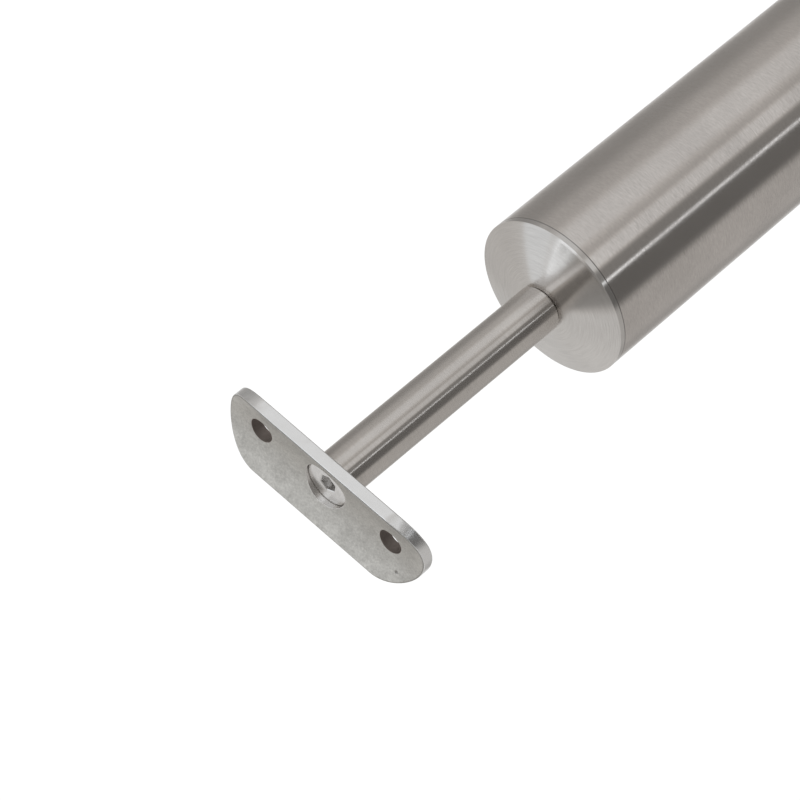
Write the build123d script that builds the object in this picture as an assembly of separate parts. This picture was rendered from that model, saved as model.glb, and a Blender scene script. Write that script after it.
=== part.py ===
from build123d import *
import math
import os

# Railing end post: a stainless tube with a turned cap, a spacer rod, a curved rail saddle and a screw.
# The axis of the post is +Z, the origin is the centre of the tube's foot, and the rail runs along X.
# Every size is in millimetres.

# Tube
tube_diameter = 42.4
tube_wall = 2.0
tube_length = 880.0
foot_edge_break = 0.4
seam_edge_break = 0.12
cap_seat_depth = 15.0
cap_seat_step = 0.3

# End cap, turned from bar
cap_rim_height = 1.6
cap_dome_rise = 3.8
cap_dome_edge_break = 0.15
cap_spigot_length = 14.0
cap_spigot_lead = 1.0
cap_spigot_gap = 0.06
cap_mouth_diameter = 9.0

# Spacer rod
rod_diameter = 12.0
rod_length = 70.0
rod_foot_break = 0.7
rod_head_break = 0.3
rod_countersink_rim = 0.5
rod_countersink_angle = 118.0
rod_bore_depth = 22.0
stud_diameter = 8.0
stud_length = 8.0
stud_neck_diameter = 6.3
stud_neck_length = 1.8
stud_tip_break = 0.9

# Saddle, pressed to the round of the rail that it carries
rail_diameter = 42.4
saddle_length = 60.0
saddle_width = 23.6
saddle_thickness = 3.0
saddle_edge_round = 0.35
saddle_hole_diameter = 6.4
saddle_hole_spacing = 40.0
saddle_recess_diameter = 12.0
saddle_recess_depth = 0.9
saddle_through_diameter = 8.0

# Countersunk screw with a hexagon socket
screw_diameter = 6.0
screw_length = 12.0
screw_head_diameter = 11.5
screw_head_rim = 0.4
screw_cone_gap = 0.03
screw_tip_break = 0.8
socket_across_flats = 4.0
socket_depth = 2.4
socket_point_angle = 120.0
socket_turn = 30.0

# Clearances
thread_gap = 0.05
seat_gap = 0.02
drill_point_angle = 118.0

# Worked out from the sizes above
tube_radius = tube_diameter / 2
tube_bore_radius = tube_radius - tube_wall
cap_seat_radius = tube_bore_radius + cap_seat_step
spigot_radius = cap_seat_radius - cap_spigot_gap
cap_base = tube_length
cap_edge = cap_base + cap_rim_height
cap_face_radius = tube_radius - cap_dome_edge_break
cap_bore_radius = stud_diameter / 2 + thread_gap
cap_mouth_radius = cap_mouth_diameter / 2
dome_radius = (cap_face_radius**2 + cap_dome_rise**2) / (2 * cap_dome_rise)
rod_radius = rod_diameter / 2
rod_bore_radius = screw_diameter / 2 + thread_gap
rail_radius = rail_diameter / 2


def dome_height(radius):
    """Height of the cap's domed face at a distance from the axis."""
    drop = dome_radius - math.sqrt(dome_radius**2 - radius**2)
    return cap_edge + cap_dome_rise - drop


rod_foot = dome_height(cap_mouth_radius) + seat_gap
rod_head = rod_foot + rod_length
saddle_bottom = rod_head + seat_gap
saddle_valley = saddle_bottom + saddle_thickness
recess_floor = saddle_valley - saddle_recess_depth
screw_rim_foot = recess_floor - (saddle_recess_diameter - screw_head_diameter) / 2 + screw_cone_gap
screw_top = screw_rim_foot + screw_head_rim
screw_tip = screw_top - screw_length


def turned(*outline):
    """A solid of revolution about the post's axis, from (radius, height) corners."""
    corners = [(radius, 0, height) for radius, height in outline]
    return revolve(make_face(Polyline(*corners, close=True)), Axis.Z)


def post_tube():
    """Welded tube, sawn square, its head bored out a little for the cap's spigot."""
    return turned(
        (tube_bore_radius + foot_edge_break, 0),
        (tube_radius - foot_edge_break, 0),
        (tube_radius, foot_edge_break),
        (tube_radius, tube_length - seam_edge_break),
        (tube_radius - seam_edge_break, tube_length),
        (cap_seat_radius, tube_length),
        (cap_seat_radius, tube_length - cap_seat_depth),
        (tube_bore_radius, tube_length - cap_seat_depth),
        (tube_bore_radius, foot_edge_break),
    )


def end_cap():
    """Turned cap: spigot in the tube, flush rim, shallow dome, and a bore for the rod's stud."""
    face_middle = cap_face_radius / 2
    side = Polyline(
        (0, 0, dome_height(0)),
        (0, 0, cap_base - cap_spigot_length),
        (spigot_radius - cap_spigot_lead, 0, cap_base - cap_spigot_length),
        (spigot_radius, 0, cap_base - cap_spigot_length + cap_spigot_lead),
        (spigot_radius, 0, cap_base),
        (tube_radius - seam_edge_break, 0, cap_base),
        (tube_radius, 0, cap_base + seam_edge_break),
        (tube_radius, 0, cap_edge - cap_dome_edge_break),
        (cap_face_radius, 0, dome_height(cap_face_radius)),
    )
    dome = ThreePointArc(
        (cap_face_radius, 0, dome_height(cap_face_radius)),
        (face_middle, 0, dome_height(face_middle)),
        (0, 0, dome_height(0)),
    )
    body = revolve(make_face(side + dome), Axis.Z)
    mouth_depth = cap_mouth_radius - cap_bore_radius
    mouth = dome_height(cap_mouth_radius)
    bore = turned(
        (0, cap_base - 2 * cap_spigot_length),
        (cap_bore_radius, cap_base - 2 * cap_spigot_length),
        (cap_bore_radius, mouth - mouth_depth),
        (cap_mouth_radius, mouth),
        (cap_mouth_radius, mouth + cap_dome_rise),
        (0, mouth + cap_dome_rise),
    )
    return body - bore


def spacer_rod():
    """Turned rod: relieved stud at the foot, and a countersunk bore for the screw at the head."""
    stud_radius = stud_diameter / 2
    neck_radius = stud_neck_diameter / 2
    neck_slope = stud_radius - neck_radius
    tip = rod_foot - stud_length
    body = turned(
        (0, tip),
        (stud_radius - stud_tip_break, tip),
        (stud_radius, tip + stud_tip_break),
        (stud_radius, rod_foot - stud_neck_length),
        (neck_radius, rod_foot - stud_neck_length + neck_slope),
        (neck_radius, rod_foot),
        (rod_radius - rod_foot_break, rod_foot),
        (rod_radius, rod_foot + rod_foot_break),
        (rod_radius, rod_head - rod_head_break),
        (rod_radius - rod_head_break, rod_head),
        (0, rod_head),
    )
    sink_radius = rod_radius - rod_countersink_rim
    sink_depth = (sink_radius - rod_bore_radius) / math.tan(math.radians(rod_countersink_angle / 2))
    point_depth = rod_bore_radius / math.tan(math.radians(drill_point_angle / 2))
    bore = turned(
        (0, rod_head - rod_bore_depth - point_depth),
        (rod_bore_radius, rod_head - rod_bore_depth),
        (rod_bore_radius, rod_head - sink_depth),
        (sink_radius, rod_head),
        (sink_radius, rod_head + rod_radius),
        (0, rod_head + rod_radius),
    )
    return body - bore


def saddle_plate():
    """Long rounded plate, curved across its width to the rail, with a countersink and two holes."""
    rail_axis_height = saddle_valley + rail_radius
    band = Plane.YZ * (Circle(rail_radius + saddle_thickness) - Circle(rail_radius))
    trough = extrude(band, saddle_length, both=True).moved(Location((0, 0, rail_axis_height)))
    outline = SlotOverall(saddle_length, saddle_width)
    blank = extrude(outline, rail_radius).moved(Location((0, 0, saddle_bottom)))
    plate = blank & trough
    rims = [edge for edge in plate.edges() if edge.center().Z > saddle_bottom]
    plate = fillet(rims, saddle_edge_round)
    for x in (-saddle_hole_spacing / 2, saddle_hole_spacing / 2):
        drill = Cylinder(saddle_hole_diameter / 2, rail_radius)
        plate -= drill.moved(Location((x, 0, saddle_valley)))
    recess_radius = saddle_recess_diameter / 2
    through_radius = saddle_through_diameter / 2
    cone_depth = recess_radius - through_radius
    plate -= turned(
        (0, saddle_bottom - saddle_thickness),
        (through_radius, saddle_bottom - saddle_thickness),
        (through_radius, recess_floor - cone_depth),
        (recess_radius, recess_floor),
        (recess_radius, saddle_valley + rail_radius),
        (0, saddle_valley + rail_radius),
    )
    return plate


def countersunk_screw():
    """Flat countersunk screw whose head lies below the rail's seat."""
    head_radius = screw_head_diameter / 2
    shank_radius = screw_diameter / 2
    body = turned(
        (0, screw_tip),
        (shank_radius - screw_tip_break, screw_tip),
        (shank_radius, screw_tip + screw_tip_break),
        (shank_radius, screw_rim_foot - (head_radius - shank_radius)),
        (head_radius, screw_rim_foot),
        (head_radius, screw_top),
        (0, screw_top),
    )
    hexagon = RegularPolygon(socket_across_flats / 2, 6, major_radius=False, rotation=socket_turn)
    socket = extrude(hexagon, socket_depth).moved(Location((0, 0, screw_top - socket_depth)))
    point_radius = socket_across_flats / 2
    point_depth = point_radius / math.tan(math.radians(socket_point_angle / 2))
    point = turned(
        (0, screw_top - socket_depth - point_depth),
        (point_radius, screw_top - socket_depth),
        (0, screw_top - socket_depth),
    )
    return body - socket - point


pieces = {
    "post_tube": post_tube(),
    "end_cap": end_cap(),
    "spacer_rod": spacer_rod(),
    "saddle_plate": saddle_plate(),
    "countersunk_screw": countersunk_screw(),
}

os.makedirs("parts", exist_ok=True)
for name, piece in pieces.items():
    export_step(piece, f"parts/{name}.step")
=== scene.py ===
import math
import random

import bmesh
import bpy
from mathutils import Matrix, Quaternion, Vector


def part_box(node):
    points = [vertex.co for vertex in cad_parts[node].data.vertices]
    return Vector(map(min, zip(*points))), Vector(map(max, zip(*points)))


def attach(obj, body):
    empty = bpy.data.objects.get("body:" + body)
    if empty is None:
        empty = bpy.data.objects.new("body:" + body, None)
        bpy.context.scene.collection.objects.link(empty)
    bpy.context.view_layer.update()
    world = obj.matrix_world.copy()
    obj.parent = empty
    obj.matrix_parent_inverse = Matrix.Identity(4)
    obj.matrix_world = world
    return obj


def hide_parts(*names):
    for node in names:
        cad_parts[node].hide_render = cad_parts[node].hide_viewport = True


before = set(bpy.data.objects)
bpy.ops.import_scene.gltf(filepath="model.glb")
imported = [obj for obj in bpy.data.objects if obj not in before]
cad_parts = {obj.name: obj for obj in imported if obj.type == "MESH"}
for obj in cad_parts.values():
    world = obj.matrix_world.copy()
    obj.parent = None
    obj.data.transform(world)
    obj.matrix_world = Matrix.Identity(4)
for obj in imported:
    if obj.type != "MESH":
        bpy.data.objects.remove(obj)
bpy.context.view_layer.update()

# Post tube
# Welded stainless handrail tube, 42.4 mm across with a 2 mm wall, sawn square at the foot.
# It is ground on a belt while it turns, so fine lines run round it.
mm = 0.001
tube_radius = 21.2 * mm
tube_wall = 2.0 * mm
tube_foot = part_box("post_tube")[0].z
tube_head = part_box("post_tube")[1].z
foot_ease = 0.4 * mm
seam_ease = 0.14 * mm
fine_ease = 0.05 * mm
cap_seat_depth = 15.0 * mm
cap_seat_step = 0.3 * mm
round_segments = 256
ease_steps = 4
ease_limit = 0.4
ease_lead = 1.2
smooth_up_to = math.radians(35)
line_tint = 0.5
seam_shade = 0.3


def eased(corners):
    """Profile points from (radius, height, ease, facets) corners, each rounded off by its ease."""
    points = []
    for index, (radius, height, ease, facets) in enumerate(corners):
        here = Vector((radius, height))
        if not ease:
            points.append((radius, height, facets))
            continue
        before = Vector(corners[index - 1][:2]) - here
        after = Vector(corners[(index + 1) % len(corners)][:2]) - here
        reach = min(ease, before.length * ease_limit, after.length * ease_limit)
        first = here + before.normalized() * reach
        last = here + after.normalized() * reach
        lead_in = here + before.normalized() * reach * ease_lead
        lead_out = here + after.normalized() * reach * ease_lead
        points.append((*lead_in, facets))
        for step in range(ease_steps + 1):
            share = step / ease_steps
            point = first * (1 - share) ** 2 + here * 2 * share * (1 - share) + last * share**2
            points.append((*point, facets))
        points.append((*lead_out, facets))
    return points


def turned(name, corners, material, segments=round_segments):
    """A turned piece as a mesh: the rounded profile swept round the post's axis, with its ends closed."""
    profile = eased(corners)
    mesh = bmesh.new()
    rings = []
    for radius, height, facets in profile:
        if radius == 0:
            rings.append([mesh.verts.new((0, 0, height))])
            continue
        ring = []
        for step in range(segments):
            angle = 2 * math.pi * step / segments
            reach = radius
            if facets:
                sector = 2 * math.pi / facets
                reach = radius / math.cos((angle + sector / 2) % sector - sector / 2)
            ring.append(mesh.verts.new((reach * math.cos(angle), reach * math.sin(angle), height)))
        rings.append(ring)
    loops = list(zip(rings, rings[1:]))
    if len(rings[0]) > 1 and len(rings[-1]) > 1:
        loops.append((rings[-1], rings[0]))
    for lower, upper in loops:
        for step in range(segments):
            after = (step + 1) % segments
            face = [lower[step % len(lower)], lower[after % len(lower)],
                    upper[after % len(upper)], upper[step % len(upper)]]
            distinct = list(dict.fromkeys(face))
            if len(distinct) > 2:
                mesh.faces.new(distinct)
    bmesh.ops.recalc_face_normals(mesh, faces=mesh.faces)
    data = bpy.data.meshes.new(name)
    mesh.to_mesh(data)
    mesh.free()
    data.polygons.foreach_set("use_smooth", [True] * len(data.polygons))
    data.set_sharp_from_angle(angle=smooth_up_to)
    data.materials.append(material)
    piece = bpy.data.objects.new(name, data)
    bpy.context.scene.collection.objects.link(piece)
    return piece


def feed(tree, socket, value):
    """Links another node's socket to this input, or sets the input to a plain value."""
    if isinstance(value, bpy.types.NodeSocket):
        tree.links.new(value, socket)
    else:
        socket.default_value = value


def add(tree, kind, **values):
    """A node of this kind, its named properties set and its named inputs fed."""
    node = tree.nodes.new(kind)
    for key, value in values.items():
        if hasattr(node, key):
            setattr(node, key, value)
        else:
            feed(tree, node.inputs[key.replace("_", " ").title()], value)
    return node


def calculate(tree, operation, first, second=0.5):
    """A maths node on two values, each a socket or a number."""
    node = add(tree, "ShaderNodeMath", operation=operation)
    feed(tree, node.inputs[0], first)
    feed(tree, node.inputs[1], second)
    return node.outputs[0]


def flat_distance(tree, first, second):
    """The length of a flat vector from its two sockets."""
    squares = [calculate(tree, "POWER", value, 2.0) for value in (first, second)]
    return calculate(tree, "SQRT", calculate(tree, "ADD", *squares))


def scaled(tree, vector, factor):
    """A colour or a vector times a factor."""
    return add(tree, "ShaderNodeVectorMath", operation="SCALE", vector=vector, scale=factor).outputs[0]


def new_group(name, inputs, outputs):
    """An empty shader group with these sockets, and its input and output nodes."""
    tree = bpy.data.node_groups.new(name, "ShaderNodeTree")
    for label, kind, value in inputs:
        socket = tree.interface.new_socket(label, in_out="INPUT", socket_type=kind)
        if value is not None:
            socket.default_value = value
    for label, kind in outputs:
        tree.interface.new_socket(label, in_out="OUTPUT", socket_type=kind)
    return tree, tree.nodes.new("NodeGroupInput"), tree.nodes.new("NodeGroupOutput")


def new_steel(name):
    """A bare metal's material, its node tree and its shader."""
    material = bpy.data.materials.new(name)
    material.use_nodes = True
    shader = material.node_tree.nodes["Principled BSDF"]
    shader.inputs["Metallic"].default_value = 1.0
    return material, material.node_tree, shader


def build_tool_lines():
    """Fine lines left by a belt or a tool: close together across, and long and wandering along."""
    tree, given, result = new_group(
        "tool_lines",
        [("Place", "NodeSocketVector", None), ("Across", "NodeSocketFloat", 0.0),
         ("Pitch", "NodeSocketFloat", 0.0002), ("Reach", "NodeSocketFloat", 0.01)],
        [("Lines", "NodeSocketFloat")],
    )
    place = add(tree, "ShaderNodeSeparateXYZ", vector=given.outputs["Place"]).outputs
    spread = add(
        tree, "ShaderNodeCombineXYZ",
        x=calculate(tree, "DIVIDE", place[0], given.outputs["Reach"]),
        y=calculate(tree, "DIVIDE", place[1], given.outputs["Reach"]),
        z=calculate(tree, "DIVIDE", given.outputs["Across"], given.outputs["Pitch"]),
    )
    noise = add(tree, "ShaderNodeTexNoise", vector=spread.outputs[0], scale=1.0, detail=3.0, roughness=0.6)
    tree.links.new(noise.outputs["Fac"], result.inputs["Lines"])
    return tree


def build_steel_finish():
    """Turns lines and blotches, both around one half, into a steel's colour, roughness and height."""
    tree, given, result = new_group(
        "steel_finish",
        [("Lines", "NodeSocketFloat", 0.5), ("Blotches", "NodeSocketFloat", 0.5),
         ("Colour", "NodeSocketColor", None), ("Tint", "NodeSocketFloat", 0.1),
         ("Roughness", "NodeSocketFloat", 0.3), ("Spread", "NodeSocketFloat", 0.1)],
        [("Colour", "NodeSocketColor"), ("Roughness", "NodeSocketFloat"), ("Height", "NodeSocketFloat")],
    )
    mixed = calculate(tree, "ADD", calculate(tree, "MULTIPLY", given.outputs["Lines"], 0.6),
                      calculate(tree, "MULTIPLY", given.outputs["Blotches"], 0.4))
    swing = calculate(tree, "SUBTRACT", mixed, 0.5)
    shade = calculate(tree, "ADD", calculate(tree, "MULTIPLY", swing, given.outputs["Tint"]), 1.0)
    tree.links.new(scaled(tree, given.outputs["Colour"], shade), result.inputs["Colour"])
    rough = calculate(tree, "SUBTRACT", given.outputs["Roughness"],
                      calculate(tree, "MULTIPLY", swing, given.outputs["Spread"]))
    tree.links.new(rough, result.inputs["Roughness"])
    tree.links.new(given.outputs["Lines"], result.inputs["Height"])
    return tree


tool_lines = build_tool_lines()
steel_finish = build_steel_finish()


def lined_steel(name, colour, roughness, grain, pitch, reach, across="z", spread=0.25,
                depth=0.004 * mm, seam=None):
    """Ground or turned steel whose lines run round the post's axis, dark at the height of a seam."""
    material, tree, steel = new_steel(name)
    steel.inputs["Anisotropic"].default_value = grain
    steel.inputs["Anisotropic Rotation"].default_value = 0.25
    place = add(tree, "ShaderNodeTexCoord").outputs["Object"]
    axes = add(tree, "ShaderNodeSeparateXYZ", vector=place).outputs
    run = flat_distance(tree, axes[0], axes[1]) if across == "radius" else axes[2]
    lines = add(tree, "ShaderNodeGroup", node_tree=tool_lines, place=place, across=run, pitch=pitch,
                reach=reach)
    blotches = add(tree, "ShaderNodeTexNoise", vector=place, scale=60.0, detail=2.0)
    finish = add(tree, "ShaderNodeGroup", node_tree=steel_finish, lines=lines.outputs["Lines"],
                 blotches=blotches.outputs["Fac"], colour=(*colour, 1), tint=line_tint,
                 roughness=roughness, spread=spread)
    colour_out = finish.outputs["Colour"]
    if seam is not None:
        gap = calculate(tree, "ABSOLUTE", calculate(tree, "SUBTRACT", axes[2], seam))
        clean = calculate(tree, "ADD", calculate(tree, "DIVIDE", gap, 2 * seam_ease), seam_shade)
        colour_out = scaled(tree, colour_out, calculate(tree, "MINIMUM", clean, 1.0))
    tree.links.new(colour_out, steel.inputs["Base Color"])
    tree.links.new(finish.outputs["Roughness"], steel.inputs["Roughness"])
    bump = add(tree, "ShaderNodeBump", strength=1.0, distance=depth)
    tree.links.new(finish.outputs["Height"], bump.inputs["Height"])
    tree.links.new(bump.outputs[0], steel.inputs["Normal"])
    ring = add(tree, "ShaderNodeTangent", direction_type="RADIAL", axis="Z")
    tree.links.new(ring.outputs[0], steel.inputs["Tangent"])
    return material


tube_steel = lined_steel("satin_tube", (0.625, 0.592, 0.565), 0.19, 1.0, pitch=0.25 * mm,
                         reach=1.6 * mm, spread=0.35, seam=tube_head)
tube_bore = tube_radius - tube_wall
cap_seat = tube_bore + cap_seat_step
tube = turned(
    "post_tube_shell",
    [
        (tube_bore, tube_foot, foot_ease, 0),
        (tube_radius, tube_foot, foot_ease, 0),
        (tube_radius, tube_head, seam_ease, 0),
        (cap_seat, tube_head, fine_ease, 0),
        (cap_seat, tube_head - cap_seat_depth, 0, 0),
        (tube_bore, tube_head - cap_seat_depth, 0, 0),
    ],
    tube_steel,
)
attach(tube, "post")
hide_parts("post_tube")

# End cap
# Turned from stainless bar: a spigot glued into the tube, a narrow rim flush with it and a shallow
# domed face, faced on the lathe, with an M8 thread for the rod's stud whose mouth the tap nicked.
cap_rim = 1.6 * mm
cap_rise = 3.8 * mm
cap_edge_ease = 0.15 * mm
cap_corner_ease = 0.04 * mm
cap_mouth = 4.5 * mm
cap_bore = 4.05 * mm
cap_thread_crest = 3.42 * mm
cap_thread_start = 0.5 * mm
coarse_pitch = 1.25 * mm
spigot_gap = 0.06 * mm
spigot_length = 14.0 * mm
spigot_lead = 1.0 * mm
dome_steps = 24
face_radius = tube_radius - cap_edge_ease
dome_ball = (face_radius**2 + cap_rise**2) / (2 * cap_rise)
ridge_foot = 0.84
ridge_top = 0.12
ridge_flank = math.radians(30)
ridge_fade = 1.6
ridge_sink = 0.05 * mm
helix_resolution = 64
torn_bearing = math.radians(69)
torn_half = math.radians(58)
nick_width = math.radians(5)
nick_count = 72
deepest_nick = 0.2 * mm
mouth_rows = 2
row_shift = 17
hair = 0.01 * mm


def dome_height(radius):
    """Height of the cap's face at this distance from the axis."""
    return tube_head + cap_rim + cap_rise - dome_ball + math.sqrt(dome_ball**2 - radius**2)


def build_thread():
    """A thread's ridge as a Geometry Nodes tree: a trapezoid swept along a helix, fading at its ends."""
    tree = bpy.data.node_groups.new("thread_ridge", "GeometryNodeTree")
    tree.interface.new_socket("Geometry", in_out="INPUT", socket_type="NodeSocketGeometry")
    for label in ("Pitch", "Turns", "Radius", "Height", "Root", "Crest", "Start", "Fade", "Lean"):
        tree.interface.new_socket(label, in_out="INPUT", socket_type="NodeSocketFloat")
    tree.interface.new_socket("Material", in_out="INPUT", socket_type="NodeSocketMaterial")
    tree.interface.new_socket("Geometry", in_out="OUTPUT", socket_type="NodeSocketGeometry")
    given = tree.nodes.new("NodeGroupInput").outputs
    result = tree.nodes.new("NodeGroupOutput")
    link = tree.links.new
    helix = add(tree, "GeometryNodeCurveSpiral", resolution=helix_resolution, rotations=given["Turns"],
                start_radius=given["Radius"], end_radius=given["Radius"])
    link(calculate(tree, "MULTIPLY", given["Pitch"], given["Turns"]), helix.inputs["Height"])
    upright = add(tree, "GeometryNodeSetCurveNormal", mode="Z_UP")
    link(helix.outputs[0], upright.inputs[0])
    along = tree.nodes.new("GeometryNodeSplineParameter").outputs["Length"]
    from_start = calculate(tree, "DIVIDE", along, given["Fade"])
    whole_turns = calculate(tree, "MULTIPLY", given["Turns"], 2 * math.pi)
    reach = calculate(tree, "MULTIPLY", whole_turns, given["Radius"])
    to_end = calculate(tree, "DIVIDE", calculate(tree, "SUBTRACT", reach, along), given["Fade"])
    size = calculate(tree, "MINIMUM", calculate(tree, "MINIMUM", from_start, to_end), 1.0)
    thickness = add(tree, "GeometryNodeSetCurveRadius", radius=calculate(tree, "MAXIMUM", size, 0.02))
    link(upright.outputs[0], thickness.inputs[0])
    section = add(tree, "GeometryNodeCurvePrimitiveQuadrilateral", mode="TRAPEZOID", offset=0.0,
                  bottom_width=given["Root"], top_width=given["Crest"])
    link(given["Height"], section.inputs["Height"])
    lean = add(tree, "ShaderNodeCombineXYZ", z=given["Lean"])
    turn = add(tree, "GeometryNodeTransform", rotation=lean.outputs[0])
    link(section.outputs[0], turn.inputs[0])
    radius = tree.nodes.new("GeometryNodeInputRadius")
    ridge = add(tree, "GeometryNodeCurveToMesh", curve=thickness.outputs[0],
                profile_curve=turn.outputs[0], scale=radius.outputs[0], fill_caps=True)
    offset = add(tree, "ShaderNodeCombineXYZ", z=given["Start"])
    lift = add(tree, "GeometryNodeTransform", translation=offset.outputs[0])
    link(ridge.outputs[0], lift.inputs[0])
    real = tree.nodes.new("GeometryNodeRealizeInstances")
    link(lift.outputs[0], real.inputs[0])
    paint = add(tree, "GeometryNodeSetMaterial", material=given["Material"])
    link(real.outputs[0], paint.inputs[0])
    link(paint.outputs[0], result.inputs[0])
    return tree


thread_ridge = build_thread()


def thread(name, pitch, low, high, inner, outer, outside, material):
    """One thread's ridge between two heights and two radii; a bore's points in, half a pitch on."""
    holder = bpy.data.objects.new(name + "_maker", bpy.data.meshes.new(name))
    bpy.context.scene.collection.objects.link(holder)
    modifier = holder.modifiers.new("thread", "NODES")
    modifier.node_group = thread_ridge
    depth = outer - inner
    foot = pitch * ridge_foot
    phase = 0.0 if outside else 0.5
    start = (math.floor(low / pitch) + 1 + phase) * pitch
    values = {
        "Pitch": pitch,
        "Turns": (high - start) / pitch,
        "Radius": (inner + outer) / 2,
        "Height": depth,
        "Root": foot,
        "Crest": max(foot - 2 * depth * math.tan(ridge_flank), pitch * ridge_top),
        "Start": start,
        "Fade": pitch * ridge_fade,
        "Lean": math.radians(90 if outside else -90),
        "Material": material,
    }
    for item in thread_ridge.interface.items_tree:
        if item.in_out == "INPUT" and item.name in values:
            modifier[item.identifier] = values[item.name]
    shaped = holder.evaluated_get(bpy.context.evaluated_depsgraph_get())
    data = bpy.data.meshes.new_from_object(shaped)
    bpy.data.objects.remove(holder)
    mesh = bmesh.new()
    mesh.from_mesh(data)
    bmesh.ops.recalc_face_normals(mesh, faces=mesh.faces)
    mesh.to_mesh(data)
    mesh.free()
    data.polygons.foreach_set("use_smooth", [True] * len(data.polygons))
    data.set_sharp_from_angle(angle=math.radians(40))
    piece = bpy.data.objects.new(name, data)
    bpy.context.scene.collection.objects.link(piece)
    return piece


def ramp(tree, value, start, end, low=0.0, high=1.0):
    """Goes smoothly from the low number to the high one as the value goes from start to end."""
    return add(tree, "ShaderNodeMapRange", interpolation_type="SMOOTHSTEP", value=value,
               from_min=start, from_max=end, to_min=low, to_max=high).outputs[0]


def laid_over(tree, mask, under, over):
    """One colour laid over another where the mask is 1, each a socket or a plain colour."""
    node = add(tree, "ShaderNodeMix", data_type="RGBA")
    for index, value in ((0, mask), (6, under), (7, over)):
        feed(tree, node.inputs[index], value)
    return node.outputs[2]


def thread_steel(name, crest, root, crest_highlight, root_shade, share):
    """Cut thread with painted light: a painted highlight on its crest, and painted shade in its root up to
    this share of its depth.
    """
    material, tree, steel = new_steel(name)
    place = add(tree, "ShaderNodeTexCoord").outputs["Object"]
    axes = add(tree, "ShaderNodeSeparateXYZ", vector=place).outputs
    from_axis = flat_distance(tree, axes[0], axes[1])
    # Painted light: the crest's colour is a painted highlight and the root's a painted shade, blended by
    # the distance from the axis.
    rise = ramp(tree, from_axis, root + (crest - root) * share, crest)
    tone = laid_over(tree, rise, (*root_shade, 1), (*crest_highlight, 1))
    grime = add(tree, "ShaderNodeTexNoise", vector=place, scale=900.0, detail=2.0)
    finish = add(tree, "ShaderNodeGroup", node_tree=steel_finish, blotches=grime.outputs["Fac"],
                 colour=tone, tint=1.2, roughness=0.28, spread=0.2)
    tree.links.new(finish.outputs["Colour"], steel.inputs["Base Color"])
    tree.links.new(finish.outputs["Roughness"], steel.inputs["Roughness"])
    return material


cap_steel = lined_steel("turned_cap", (0.63, 0.61, 0.59), 0.20, 1.0, pitch=0.22 * mm, reach=5 * mm,
                        across="radius", seam=tube_head)
# Thread colours: a painted highlight on the crest, painted shade in the root.
cap_thread_steel = thread_steel("cap_thread", cap_thread_crest, cap_bore,
                                (0.95, 0.94, 0.92), (0.66, 0.64, 0.61), 0.3)
dome = []
for step in range(dome_steps + 1):
    radius = face_radius + (cap_mouth - face_radius) * step / dome_steps
    dome.append((radius, dome_height(radius), 0, 0))
mouth_height = dome_height(cap_mouth)
cap = turned(
    "end_cap_turned",
    [
        (cap_bore, tube_head - spigot_length, 0, 0),
        (cap_seat - spigot_gap, tube_head - spigot_length, spigot_lead, 0),
        (cap_seat - spigot_gap, tube_head, 0, 0),
        (tube_radius, tube_head, seam_ease, 0),
        (tube_radius, tube_head + cap_rim - cap_edge_ease, cap_corner_ease, 0),
        *dome,
        ((cap_mouth + cap_bore) / 2, mouth_height - (cap_mouth - cap_bore) / 2, 0, 0),
        (cap_bore, mouth_height - (cap_mouth - cap_bore), 0, 0),
    ],
    cap_steel,
)
nicks = random.Random(5)
nick_depths = [nicks.uniform(0, deepest_nick) for _ in range(nick_count)]
for vertex in cap.data.vertices:
    from_middle = math.hypot(vertex.co.x, vertex.co.y)
    bearing = math.atan2(vertex.co.y, vertex.co.x)
    at_mouth = from_middle < cap_mouth + hair and vertex.co.z > tube_head
    if at_mouth and abs(bearing - torn_bearing) < torn_half:
        row = round((from_middle - cap_bore) / (cap_mouth - cap_bore) * mouth_rows)
        vertex.co.z -= nick_depths[int(bearing / nick_width + row_shift * row) % nick_count]
cap.data.set_sharp_from_angle(angle=smooth_up_to)
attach(cap, "post")
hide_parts("end_cap")
cap_thread = thread("end_cap_thread", coarse_pitch, tube_head - spigot_length,
                    mouth_height - cap_thread_start, cap_thread_crest, cap_bore + ridge_sink,
                    False, cap_thread_steel)
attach(cap_thread, "post")

# Spacer rod
# 12 mm stainless bar turned to size: an M8 stud with a relieved neck below, and above a hole with an
# M6 thread whose flat countersink, opened with a drill's point, leaves only a thin rim.
rod_radius = 6.0 * mm
rod_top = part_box("spacer_rod")[1].z
rod_length = 70.0 * mm
rod_bottom = rod_top - rod_length
stud_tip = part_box("spacer_rod")[0].z
stud_core = 3.28 * mm
stud_crest = 4.0 * mm
tip_chamfer = 0.2 * mm
tip_height = 0.5 * mm
neck_radius = 3.15 * mm
neck_length = 1.8 * mm
neck_slope = 0.3 * mm
stud_run_out = 0.2 * mm
shoulder_break = 0.7 * mm
rod_top_ease = 0.3 * mm
soft_ease = 0.1 * mm
crisp_ease = 0.06 * mm
sink_rim = 0.5 * mm
sink_angle = math.radians(118)
fine_bore = 3.05 * mm
fine_crest = 2.5 * mm
fine_pitch = 1.0 * mm
bore_depth = 22.0 * mm
drill_point = 0.6 * fine_bore
sink_depth = (rod_radius - sink_rim - fine_bore) / math.tan(sink_angle / 2)
rod_steel = lined_steel("turned_rod", (0.62, 0.588, 0.56), 0.25, 1.0, pitch=0.2 * mm, reach=2 * mm,
                        spread=0.3, depth=0.001 * mm, seam=rod_top)
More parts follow.
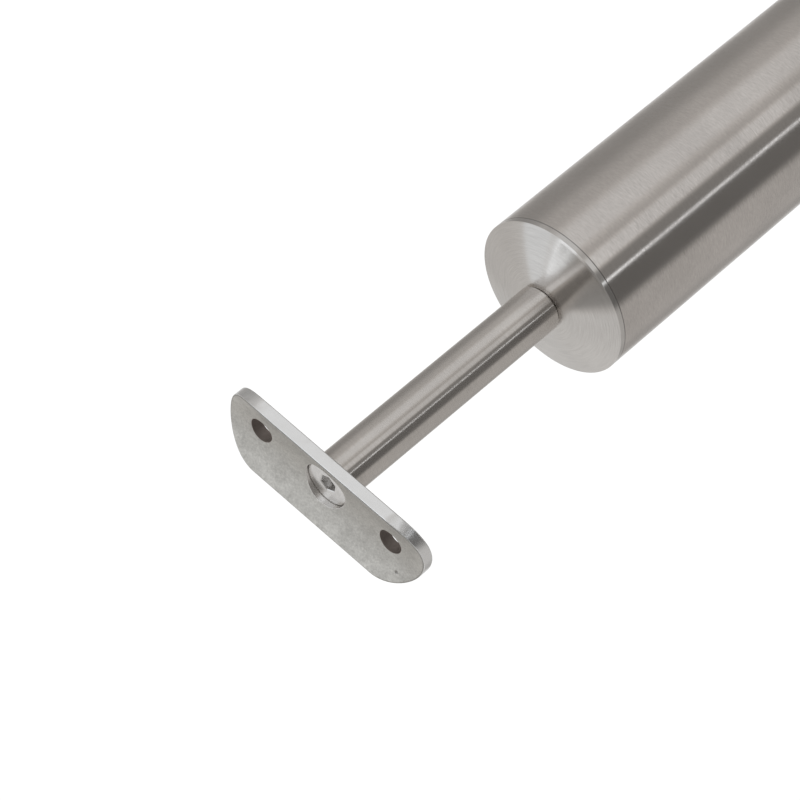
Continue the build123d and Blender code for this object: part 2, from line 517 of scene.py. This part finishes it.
rod = turned(
    "spacer_rod_turned",
    [
        (0, stud_tip, 0, 0),
        (stud_core - tip_chamfer, stud_tip, soft_ease, 0),
        (stud_core, stud_tip + tip_height, soft_ease, 0),
        (stud_core, rod_bottom - neck_length, fine_ease, 0),
        (neck_radius, rod_bottom - neck_length + neck_slope, soft_ease, 0),
        (neck_radius, rod_bottom, soft_ease, 0),
        (rod_radius - shoulder_break, rod_bottom, crisp_ease, 0),
        (rod_radius, rod_bottom + shoulder_break, soft_ease, 0),
        (rod_radius, rod_top, rod_top_ease, 0),
        (rod_radius - sink_rim, rod_top, crisp_ease, 0),
        (fine_bore, rod_top - sink_depth, fine_ease, 0),
        (fine_bore, rod_top - bore_depth, 0, 0),
        (0, rod_top - bore_depth - drill_point, 0, 0),
    ],
    rod_steel,
    segments=128,
)
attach(rod, "rod")
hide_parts("spacer_rod")
# Thread colours: a painted highlight on the crest, painted shade in the root.
stud_steel = thread_steel("stud_thread", stud_crest, stud_core,
                          (0.80, 0.77, 0.74), (0.58, 0.55, 0.52), 0.0)
stud_thread = thread("spacer_rod_stud_thread", coarse_pitch, stud_tip,
                     rod_bottom - neck_length + stud_run_out, stud_core - ridge_sink, stud_crest,
                     True, stud_steel)
# Thread colours: a painted highlight on the crest, painted shade in the root.
bore_steel = thread_steel("bore_thread", fine_crest, fine_bore,
                          (0.75, 0.70, 0.66), (0.62, 0.57, 0.53), 0.3)
bore_thread = thread("spacer_rod_bore_thread", fine_pitch, rod_top - bore_depth,
                     rod_top - sink_depth, fine_crest, fine_bore + ridge_sink, False, bore_steel)
for piece in (stud_thread, bore_thread):
    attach(piece, "rod")

# Saddle plate
# Stainless strip, blanked with round ends and pressed to the curve of the rail it carries, tumbled
# matt, its edges finished smoother on a grinder by hand with a painted highlight along them, and one
# small dented spot near an end with painted shade in it. Its countersink takes the screw, and two
# holes take the rail's, their walls with painted shade.
saddle_half_length = 30.0 * mm
saddle_half_width = 11.8 * mm
saddle_straight = saddle_half_length - saddle_half_width
rail_hole_reach = 20.0 * mm
rail_hole_radius = 3.2 * mm
sink_mouth = 6.0 * mm
wall_near = 0.02 * mm
wall_far = 0.12 * mm
ground_edge = (0.04 * mm, 0.12 * mm)
rounded_rim = (0.2 * mm, 0.5 * mm)
dent_place = (-24.0 * mm, 7.0 * mm)
dent_reach = (0.15 * mm, 0.6 * mm)
dent_depth = 6.0
wave_height = 30.0
ground_roughness = 0.26


def build_tumbled():
    """The mottled skin that tumbling leaves, clouds with fine pits, and the waves of hand grinding."""
    tree, given, result = new_group(
        "tumbled_skin", [("Place", "NodeSocketVector", None)],
        [("Clouds", "NodeSocketFloat"), ("Pits", "NodeSocketFloat"), ("Waves", "NodeSocketFloat")],
    )
    place = given.outputs["Place"]
    clouds = add(tree, "ShaderNodeTexNoise", vector=place, scale=260.0, detail=5.0, roughness=0.65)
    pits = add(tree, "ShaderNodeTexNoise", vector=place, scale=1800.0, detail=3.0, roughness=0.7)
    waves = add(tree, "ShaderNodeTexNoise", vector=place, scale=220.0, detail=1.0)
    for label, noise in (("Clouds", clouds), ("Pits", pits), ("Waves", waves)):
        tree.links.new(noise.outputs["Fac"], result.inputs[label])
    return tree


tumbled_skin = build_tumbled()


def between(tree, mask, low, high):
    """Goes from the low number to the high one as the mask goes from 0 to 1."""
    return add(tree, "ShaderNodeMapRange", value=mask, to_min=low, to_max=high).outputs[0]


def falling(tree, distance, inner, outer):
    """A mask that is 1 up to the inner distance and 0 from the outer one."""
    return ramp(tree, distance, inner, outer, 1.0, 0.0)


def tumbled_steel():
    """Matt mottled faces, a smoother grinding-finished edge with a painted highlight, a lighter
    countersink, duller walls with painted shade in the two holes, and painted shade in the dented spot.
    """
    material, tree, steel = new_steel("pressed_saddle")
    place = add(tree, "ShaderNodeTexCoord").outputs["Object"]
    axes = add(tree, "ShaderNodeSeparateXYZ", vector=place).outputs
    along = calculate(tree, "ABSOLUTE", axes[0])
    past_straight = calculate(tree, "MAXIMUM", calculate(tree, "SUBTRACT", along, saddle_straight), 0.0)
    from_spine = flat_distance(tree, past_straight, axes[1])
    edge_gap = calculate(tree, "SUBTRACT", saddle_half_width, from_spine)
    # The grinding-smoothed edge band: real polish in its roughness and waves, and a painted highlight in
    # its lighter colour.
    ground_and_sheen = falling(tree, edge_gap, *ground_edge)
    rounding = falling(tree, edge_gap, *rounded_rim)
    from_axis = flat_distance(tree, axes[0], axes[1])
    sink = falling(tree, from_axis, sink_mouth + wall_near, sink_mouth + wall_far)
    from_hole = flat_distance(tree, calculate(tree, "SUBTRACT", along, rail_hole_reach), axes[1])
    # The holes' walls: duller in roughness, and darkened with painted shade.
    shaded_hole_wall = falling(tree, from_hole, rail_hole_radius + wall_near, rail_hole_radius + wall_far)
    from_dent = flat_distance(tree, calculate(tree, "SUBTRACT", axes[0], dent_place[0]),
                              calculate(tree, "SUBTRACT", axes[1], dent_place[1]))
    # The dented spot: sunk by the bump, and darkened with painted shade.
    shaded_dent = falling(tree, from_dent, *dent_reach)
    skin = add(tree, "ShaderNodeGroup", node_tree=tumbled_skin, place=place)
    finish = add(tree, "ShaderNodeGroup", node_tree=steel_finish, lines=skin.outputs["Pits"],
                 blotches=skin.outputs["Clouds"], colour=(0.52, 0.505, 0.475, 1), tint=1.1,
                 roughness=0.42, spread=0.4)
    colour = finish.outputs["Colour"]
    # The rim band is darker; the edge band's light colour is a painted highlight, and the dark colours of
    # the holes' walls and the dented spot are painted shade.
    zones = [
        (rounding, (0.40, 0.39, 0.37)),
        (ground_and_sheen, (0.84, 0.84, 0.84)),
        (sink, (0.68, 0.66, 0.64)),
        (shaded_hole_wall, (0.27, 0.235, 0.215)),
        (shaded_dent, (0.28, 0.27, 0.26)),
    ]
    for mask, tone in zones:
        colour = laid_over(tree, mask, colour, (*tone, 1))
    tree.links.new(colour, steel.inputs["Base Color"])
    smooth = calculate(tree, "MAXIMUM", ground_and_sheen, sink)
    duller = calculate(tree, "ADD", between(tree, rounding, 0.0, 0.12), between(tree, shaded_hole_wall, 0.0, 0.25))
    matt = calculate(tree, "ADD", finish.outputs["Roughness"], duller)
    polished = calculate(tree, "MULTIPLY", calculate(tree, "SUBTRACT", ground_roughness, matt), smooth)
    tree.links.new(calculate(tree, "ADD", matt, polished), steel.inputs["Roughness"])
    pitted = calculate(tree, "SUBTRACT", finish.outputs["Height"], 0.5)
    pits = calculate(tree, "MULTIPLY", pitted, between(tree, smooth, 1.0, 0.0))
    waves = calculate(tree, "MULTIPLY", skin.outputs["Waves"], between(tree, ground_and_sheen, 0.0, wave_height))
    sunk = calculate(tree, "MULTIPLY", shaded_dent, dent_depth)
    height = calculate(tree, "SUBTRACT", calculate(tree, "ADD", pits, waves), sunk)
    bump = add(tree, "ShaderNodeBump", strength=0.7, distance=0.02 * mm)
    tree.links.new(height, bump.inputs["Height"])
    tree.links.new(bump.outputs[0], steel.inputs["Normal"])
    return material


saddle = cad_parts["saddle_plate"]
saddle.data.materials.clear()
saddle.data.materials.append(tumbled_steel())

# Countersunk screw
# Cold-headed M6 stainless screw, 12 mm long over its flat head, with a 4 mm hexagon socket, its
# thread rolled up to the head's cone. Its head lies just below the rail's seat.
screw_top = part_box("countersunk_screw")[1].z
screw_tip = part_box("countersunk_screw")[0].z
head_radius = 5.75 * mm
head_rim = 0.4 * mm
head_ease = 0.3 * mm
screw_core = 2.4 * mm
screw_crest = 3.0 * mm
screw_neck = 0.6 * mm
screw_run_out = 0.2 * mm
socket_radius = 2.0 * mm
socket_sides = 6
socket_chamfer = 0.2 * mm
socket_depth = 2.4 * mm
socket_point = 0.9 * mm
cone_foot = screw_top - head_rim - (head_radius - screw_crest)
screw_steel = lined_steel("screw_steel", (0.74, 0.73, 0.72), 0.22, 0.0, pitch=1.2 * mm,
                          reach=2.5 * mm, across="radius", spread=0.2, depth=0.001 * mm)
screw = turned(
    "countersunk_screw_body",
    [
        (0, screw_tip, 0, 0),
        (screw_core - tip_chamfer, screw_tip, soft_ease, 0),
        (screw_core, screw_tip + tip_height, soft_ease, 0),
        (screw_core, cone_foot - screw_neck, soft_ease, 0),
        (screw_crest, cone_foot, soft_ease, 0),
        (head_radius, screw_top - head_rim, crisp_ease, 0),
        (head_radius, screw_top, head_ease, 0),
        (socket_radius + socket_chamfer, screw_top, 0, socket_sides),
        (socket_radius, screw_top - socket_chamfer, 0, socket_sides),
        (socket_radius, screw_top - socket_depth, 0, socket_sides),
        (0, screw_top - socket_depth - socket_point, 0, 0),
    ],
    screw_steel,
    segments=96,
)
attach(screw, "screw")
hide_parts("countersunk_screw")
# Thread colours: a painted highlight on the crest, painted shade in the root.
rolled_steel = thread_steel("screw_thread", screw_crest, screw_core,
                            (0.92, 0.89, 0.86), (0.43, 0.39, 0.35), 0.85)
screw_thread = thread("countersunk_screw_thread", fine_pitch, screw_tip, cone_foot - screw_run_out,
                      screw_core - ridge_sink, screw_crest, True, rolled_steel)
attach(screw_thread, "screw")

# Studio
# A plain pale floor under the post, and round it white soft boxes with dark cards between them,
# which the steel mirrors as the long light and dark bands along the tube. One high window leaves
# the post's soft shadow on the floor.
camera_azimuth = -110.7
toward_lens = (-0.317, -0.8216, 0.4738)
wall_light = 0.53
wall_bearings = (90.0, 140.0)
wall_heights = (0.15, -0.30)
wall_edge = 0.1
ceiling_light = 0.73
ceiling_slopes = (1.0, 8.0)
ground_light = 0.40
ground_depths = (-0.62, -0.80)
warm_tone = (1.01, 0.985, 0.955, 1)
cool_tone = (0.97, 1.0, 1.03, 1)
cool_levels = (0.6, 1.0)
white = (1, 1, 1, 1)
floor_half = 8.0
floor_glow = 0.16


def half_turn(tree, degrees):
    """An angle in degrees, brought between -180 and 180."""
    node = add(tree, "ShaderNodeMath", operation="WRAP")
    for socket, value in zip(node.inputs, (degrees, 180.0, -180.0)):
        feed(tree, socket, value)
    return node.outputs[0]


def replaced(tree, share, under, over):
    """One light replaced by another to this share."""
    return calculate(tree, "ADD", under,
                     calculate(tree, "MULTIPLY", calculate(tree, "SUBTRACT", over, under), share))


def build_card():
    """One card or soft box: within half its width of its middle it replaces the light under it."""
    tree, given, result = new_group(
        "studio_card",
        [("Under", "NodeSocketFloat", 0.5), ("Bearing", "NodeSocketFloat", 0.0),
         ("Middle", "NodeSocketFloat", 0.0), ("Half", "NodeSocketFloat", 10.0),
         ("Edge", "NodeSocketFloat", 10.0), ("Level", "NodeSocketFloat", 1.0)],
        [("Light", "NodeSocketFloat")],
    )
    away = calculate(tree, "SUBTRACT", given.outputs["Bearing"], given.outputs["Middle"])
    apart = calculate(tree, "ABSOLUTE", half_turn(tree, away))
    outer = calculate(tree, "ADD", given.outputs["Half"], given.outputs["Edge"])
    cover = falling(tree, apart, given.outputs["Half"], outer)
    light = replaced(tree, cover, given.outputs["Under"], given.outputs["Level"])
    tree.links.new(light, result.inputs["Light"])
    return tree


studio_card = build_card()


def hang_cards(tree, base, bearing, cards):
    """The light along a bearing, in degrees, from (middle, half width, soft edge, level) cards."""
    light = base
    for middle, half, edge, level in cards:
        card = add(tree, "ShaderNodeGroup", node_tree=studio_card, under=light, bearing=bearing,
                   middle=middle, half=half, edge=edge, level=level)
        light = card.outputs["Light"]
    return light


def bearing_from_lens(tree, sideways, forward):
    """Degrees round the post from the camera's side, for a direction's two flat parts."""
    angle = calculate(tree, "ARCTAN2", forward, sideways)
    turned_by = calculate(tree, "SUBTRACT", math.radians(camera_azimuth), angle)
    return half_turn(tree, calculate(tree, "DEGREES", turned_by))


world = bpy.data.worlds.new("studio")
world.use_nodes = True
world.cycles.sampling_method = "NONE"
bpy.context.scene.world = world
sky = world.node_tree
sky.nodes.clear()
direction = add(sky, "ShaderNodeTexCoord").outputs["Generated"]
parts = add(sky, "ShaderNodeSeparateXYZ", vector=direction).outputs
around = bearing_from_lens(sky, parts[0], parts[1])
walls = hang_cards(sky, wall_light, around, [
    (-120, 12, 32, 0.34),
    (-42, 10, 18, 0.79),
    (0, 6, 8, 0.80),
    (20, 5, 9, 0.25),
    (46, 13, 12, 0.13),
    (28, 1.0, 1.0, 1.45),
    (148, 10, 14, 0.40),
    (180, 12, 20, 0.85),
])

# The ceiling's cards are hung by the slope of the steel that mirrors them to the lens, so that they
# fan out over the cap's face.
leaning = add(sky, "ShaderNodeVectorMath", operation="ADD")
leaning.inputs[1].default_value = toward_lens
sky.links.new(direction, leaning.inputs[0])
slope = add(sky, "ShaderNodeSeparateXYZ", vector=leaning.outputs[0]).outputs
slope_around = bearing_from_lens(sky, slope[0], slope[1])
slope_reach = flat_distance(sky, slope[0], slope[1])
tilt = calculate(sky, "DEGREES", calculate(sky, "ARCTAN2", slope_reach, slope[2]))
ceiling_cards = hang_cards(sky, ceiling_light, slope_around, [
    (-95, 20, 35, 0.62),
    (-36, 16, 5, 0.92),
    (-18, 6, 2, 1.3),
    (-29, 1, 3, 0.82),
    (14, 11, 12, 0.32),
])
ceiling = replaced(sky, ramp(sky, tilt, *ceiling_slopes), ceiling_light, ceiling_cards)
wall_top = ramp(sky, calculate(sky, "ABSOLUTE", around), *wall_bearings, *wall_heights)
overhead = ramp(sky, calculate(sky, "SUBTRACT", parts[2], wall_top), -wall_edge, wall_edge)
mirrored = replaced(sky, overhead, walls, ceiling)
mirrored = replaced(sky, ramp(sky, parts[2], *ground_depths), mirrored, ground_light)
tone = laid_over(sky, ramp(sky, mirrored, *cool_levels), warm_tone, cool_tone)
toned = scaled(sky, tone, mirrored)
rays = add(sky, "ShaderNodeLightPath").outputs
light = add(sky, "ShaderNodeBackground")
sky.links.new(laid_over(sky, rays["Is Glossy Ray"], white, toned), light.inputs["Color"])
add(sky, "ShaderNodeOutputWorld", surface=light.outputs[0])

floor_corners = [(-floor_half, -floor_half), (floor_half, -floor_half),
                 (floor_half, floor_half), (-floor_half, floor_half)]
floor_data = bpy.data.meshes.new("floor")
floor_data.from_pydata([(*corner, 0) for corner in floor_corners], [], [(0, 1, 2, 3)])
floor = bpy.data.objects.new("floor", floor_data)
bpy.context.scene.collection.objects.link(floor)
floor.visible_glossy = False
pale = bpy.data.materials.new("pale_floor")
pale.use_nodes = True
pale_tree = pale.node_tree
paint = pale_tree.nodes["Principled BSDF"]
paint.inputs["Base Color"].default_value = (0.7, 0.7, 0.7, 1)
paint.inputs["Roughness"].default_value = 0.9
paint.inputs["Specular IOR Level"].default_value = 0.0
paint.inputs["Emission Color"].default_value = white
seen = add(pale_tree, "ShaderNodeLightPath").outputs["Is Camera Ray"]
feed(pale_tree, paint.inputs["Emission Strength"], calculate(pale_tree, "MULTIPLY", seen, floor_glow))
floor_data.materials.append(pale)

high_window = bpy.data.lights.new("high_window", "SUN")
high_window.energy = 1.0
high_window.angle = math.radians(14)
lamp = bpy.data.objects.new("high_window", high_window)
lamp.location = (-1.2, -0.6, 2.4)
lamp.rotation_euler = (-lamp.location).to_track_quat("-Z", "Y").to_euler()
lamp.visible_glossy = False
bpy.context.scene.collection.objects.link(lamp)

# Camera
# It looks down on the post's head from the photograph's side, turned on its own axis so that the
# post comes in from the upper right corner.
photo_width = 800
focal_pixels = 3150
lens_place = (-0.2230, -0.5894, tube_head + 0.3890)
look_azimuth = math.radians(68.90)
look_down = math.radians(28.28)
lens_turn = math.radians(-129.5)
lens_data = bpy.data.cameras.new("camera")
lens_data.sensor_width = 36
lens_data.lens = focal_pixels / photo_width * lens_data.sensor_width
lens_data.clip_end = 50
camera = bpy.data.objects.new("camera", lens_data)
camera.location = lens_place
look = Vector((math.cos(look_azimuth) * math.cos(look_down), math.sin(look_azimuth) * math.cos(look_down),
               -math.sin(look_down)))
camera.rotation_mode = "QUATERNION"
camera.rotation_quaternion = look.to_track_quat("-Z", "Y") @ Quaternion((0, 0, 1), lens_turn)
bpy.context.scene.collection.objects.link(camera)
bpy.context.scene.camera = camera
bpy.context.scene.view_settings.view_transform = "Standard"
